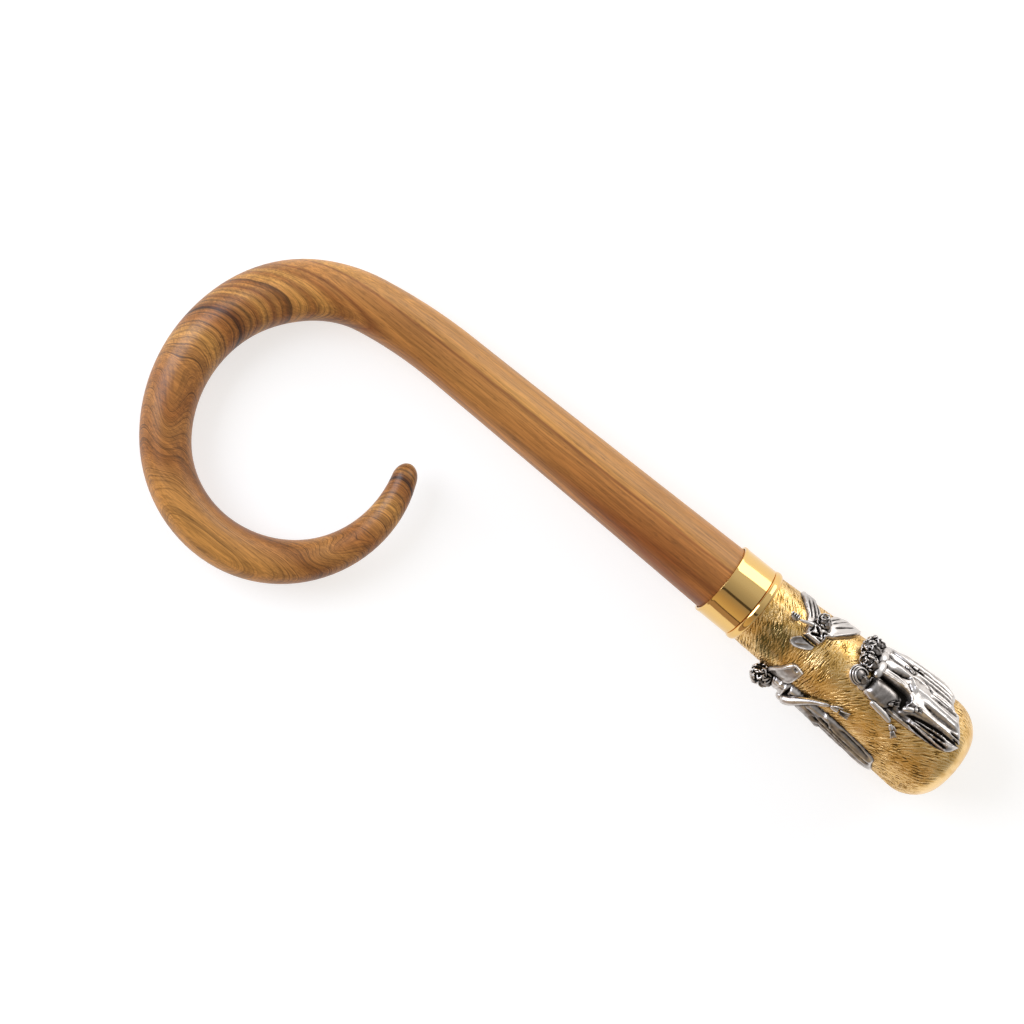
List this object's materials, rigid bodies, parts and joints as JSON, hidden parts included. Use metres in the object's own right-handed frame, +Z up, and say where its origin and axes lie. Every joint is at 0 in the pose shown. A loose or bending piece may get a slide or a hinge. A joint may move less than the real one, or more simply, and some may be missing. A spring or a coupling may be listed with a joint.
{
  "type": "bishop crosier",
  "caption": "Head of a bishop's crosier: plain olive wood crook in a gilt ferrule, on a chased gilt knob with silvered relief figures.",
  "frame": {"origin": "middle of the head's outline seen from above, on the surface it lies on", "axes": "+X from the knob towards the crook, +Y to the side the crook curls to, +Z up from the surface it lies on"},
  "size_m": [0.341, 0.1426, 0.0443],
  "materials": {
    "olive_wood": "satin",
    "polished_gilt": "polished",
    "chased_gilt": "satin",
    "oxidised_silver": "satin"
  },
  "bodies": {
    "root": {"crook": "olive_wood", "ferrule": "polished_gilt", "bead_ring": "polished_gilt", "knob": "chased_gilt", "angel": "oxidised_silver", "standing_figure": "oxidised_silver", "robed_group": "oxidised_silver"}
  },
  "joints": []
}
